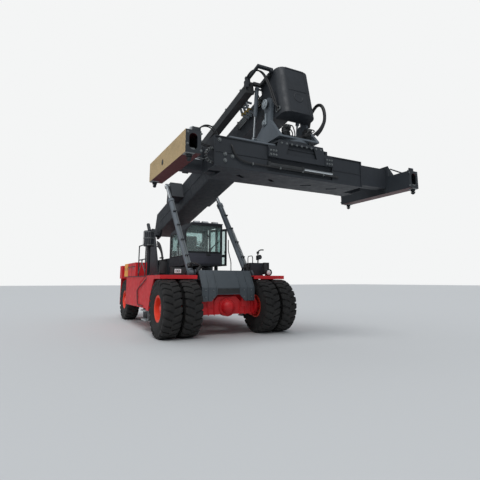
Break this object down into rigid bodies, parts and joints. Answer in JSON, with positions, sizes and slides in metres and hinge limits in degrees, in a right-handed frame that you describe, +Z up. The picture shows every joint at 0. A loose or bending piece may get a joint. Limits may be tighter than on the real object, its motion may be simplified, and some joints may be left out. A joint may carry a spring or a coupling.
{
  "type": "reach stacker",
  "caption": "Container-handling reach stacker with a telescopic boom, lift cylinders, central cab, slewing head and extending spreader, standing with its left cab door open.",
  "frame": {"origin": "ground level under the middle of the machine's length and width", "axes": "+Z up, -Y to the front where the spreader hangs, +X to the machine's left"},
  "size_m": [6.06, 12.5786, 6.7125],
  "materials": {
    "red_paint": "satin",
    "dark_paint": "satin",
    "rim_paint": "satin",
    "tan_paint": "satin",
    "grey_paint": "satin",
    "step_steel": "satin",
    "tyre": "matte",
    "chrome": "polished",
    "cast_iron": "matte",
    "glass": "clear",
    "seat": "matte",
    "lamp": "gloss",
    "black_plastic": "matte",
    "box_paint": "satin"
  },
  "bodies": {
    "chassis": {"chassis_frame": "red_paint", "boom_tower": "dark_paint", "counterweight": "red_paint", "engine_block": "cast_iron", "engine_hood": "dark_paint", "drive_axle": "red_paint", "steer_axle": "dark_paint", "front_cowl": "dark_paint", "fenders": "red_paint", "side_tanks": "red_paint", "deck_plates": "dark_paint", "side_steps": "step_steel", "handrails": "dark_paint", "exhaust_stack": "grey_paint", "deck_box": "box_paint", "head_lamps": "lamp", "mirrors": "black_plastic", "cab_shell": "dark_paint", "cab_windows": "glass", "operator_place": "seat"},
    "cab_door": {"cab_door": "dark_paint"},
    "right_drive_wheels": {"drive_tyres_right": "tyre", "drive_rims_right": "rim_paint"},
    "left_drive_wheels": {"drive_tyres_left": "tyre", "drive_rims_left": "rim_paint"},
    "right_knuckle": {"knuckle_right": "dark_paint"},
    "left_knuckle": {"knuckle_left": "dark_paint"},
    "right_steer_wheel": {"steer_tyre_right": "tyre", "steer_rim_right": "rim_paint"},
    "left_steer_wheel": {"steer_tyre_left": "tyre", "steer_rim_left": "rim_paint"},
    "boom": {"outer_boom": "dark_paint"},
    "extension": {"inner_boom": "dark_paint", "boom_head": "dark_paint", "hose_carrier": "black_plastic", "hose_guide": "grey_paint"},
    "lift_barrels": {"lift_barrels": "grey_paint"},
    "lift_rods": {"lift_rods": "chrome"},
    "hanger": {"head_hanger": "grey_paint", "slew_drives": "black_plastic"},
    "damper_barrels": {"damper_barrels": "grey_paint"},
    "damper_rods": {"damper_rods": "chrome"},
    "turntable": {"turning_frame": "dark_paint", "shift_rod": "chrome"},
    "spreader": {"main_spreader": "dark_paint", "spreader_cylinders": "grey_paint"},
    "right_end": {"beam_right": "dark_paint", "end_rod_right": "chrome", "end_beam_right": "tan_paint", "twistlocks_right": "step_steel"},
    "left_end": {"beam_left": "dark_paint", "end_rod_left": "chrome", "end_beam_left": "tan_paint", "twistlocks_left": "step_steel"}
  },
  "joints": [
    {"name": "right_drive_wheels_spin", "type": "hinge", "parent": "chassis", "child": "right_drive_wheels", "pos_m": [-1.56, -1.56069, 0.82], "axis": [1, 0, 0], "continuous": true},
    {"name": "left_drive_wheels_spin", "type": "hinge", "parent": "chassis", "child": "left_drive_wheels", "pos_m": [1.56, -1.56069, 0.82], "axis": [1, 0, 0], "continuous": true},
    {"name": "right_steering", "type": "hinge", "parent": "chassis", "child": "right_knuckle", "pos_m": [-1.06, 4.73931, 0.82], "axis": [0, 0, 1], "range_deg": [-45, 45]},
    {"name": "left_steering", "type": "hinge", "parent": "chassis", "child": "left_knuckle", "pos_m": [1.06, 4.73931, 0.82], "axis": [0, 0, 1], "range_deg": [-45.5, 45.5]},
    {"name": "right_steer_wheel_spin", "type": "hinge", "parent": "right_knuckle", "child": "right_steer_wheel", "pos_m": [-1.5, 4.73931, 0.82], "axis": [1, 0, 0], "continuous": true},
    {"name": "left_steer_wheel_spin", "type": "hinge", "parent": "left_knuckle", "child": "left_steer_wheel", "pos_m": [1.5, 4.73931, 0.82], "axis": [1, 0, 0], "continuous": true},
    {"name": "cab_door_swing", "type": "hinge", "parent": "chassis", "child": "cab_door", "pos_m": [0.734, 1.53931, 2.8], "axis": [0, 0, 1], "range_deg": [-34, 56]},
    {"name": "boom_lift", "type": "hinge", "parent": "chassis", "child": "boom", "pos_m": [0, 4.43931, 3.6], "axis": [-1, 0, 0], "range_deg": [-11, 49]},
    {"name": "boom_extend", "type": "slide", "parent": "boom", "child": "extension", "axis": [0, 0.9816, -0.1908], "range_m": [-5, 1]},
    {"name": "lift_barrel_swing", "type": "hinge", "parent": "chassis", "child": "lift_barrels", "pos_m": [0, -1.17669, 1.83], "axis": [-1, 0, 0], "range_deg": [-1.16, 3.44]},
    {"name": "lift_rod_slide", "type": "slide", "parent": "lift_barrels", "child": "lift_rods", "axis": [0, 0.6335, 0.7737], "range_m": [-0.6222, 2.7024]},
    {"name": "head_level", "type": "hinge", "parent": "extension", "child": "hanger", "pos_m": [0, -5.07431, 5.75488], "axis": [1, 0, 0], "range_deg": [-11.5, 49.5]},
    {"name": "damper_barrel_swing", "type": "hinge", "parent": "extension", "child": "damper_barrels", "pos_m": [0, -4.7106, 6.31578], "axis": [1, 0, 0], "range_deg": [-7.63, 32.25]},
    {"name": "damper_rod_slide", "type": "slide", "parent": "damper_barrels", "child": "damper_rods", "axis": [0, 0.1385, -0.9904], "range_m": [-0.4681, 0.1206]},
    {"name": "slew", "type": "hinge", "parent": "hanger", "child": "turntable", "pos_m": [0, -5.07431, 4.75488], "axis": [0, 0, 1], "range_deg": [-105, 195]},
    {"name": "side_shift", "type": "slide", "parent": "turntable", "child": "spreader", "axis": [1, 0, 0], "range_m": [-0.8, 0.8]},
    {"name": "right_end_extend", "type": "slide", "parent": "spreader", "child": "right_end", "axis": [-1, 0, 0], "range_m": [0, 3.05]},
    {"name": "left_end_extend", "type": "slide", "parent": "spreader", "child": "left_end", "axis": [1, 0, 0], "range_m": [-0.01, 3.06]}
  ],
  "couplings": [
    {"joint": "left_steering", "follows": "right_steering", "ratio": 1},
    {"joint": "lift_barrel_swing", "follows": "boom_lift", "ratio": 0.06},
    {"joint": "lift_rod_slide", "follows": "boom_lift", "m_per_rad": 3.1365},
    {"joint": "head_level", "follows": "boom_lift", "ratio": 1},
    {"joint": "damper_barrel_swing", "follows": "boom_lift", "ratio": 0.64788},
    {"joint": "damper_rod_slide", "follows": "boom_lift", "m_per_rad": -0.52394},
    {"joint": "left_end_extend", "follows": "right_end_extend", "ratio": 1}
  ]
}
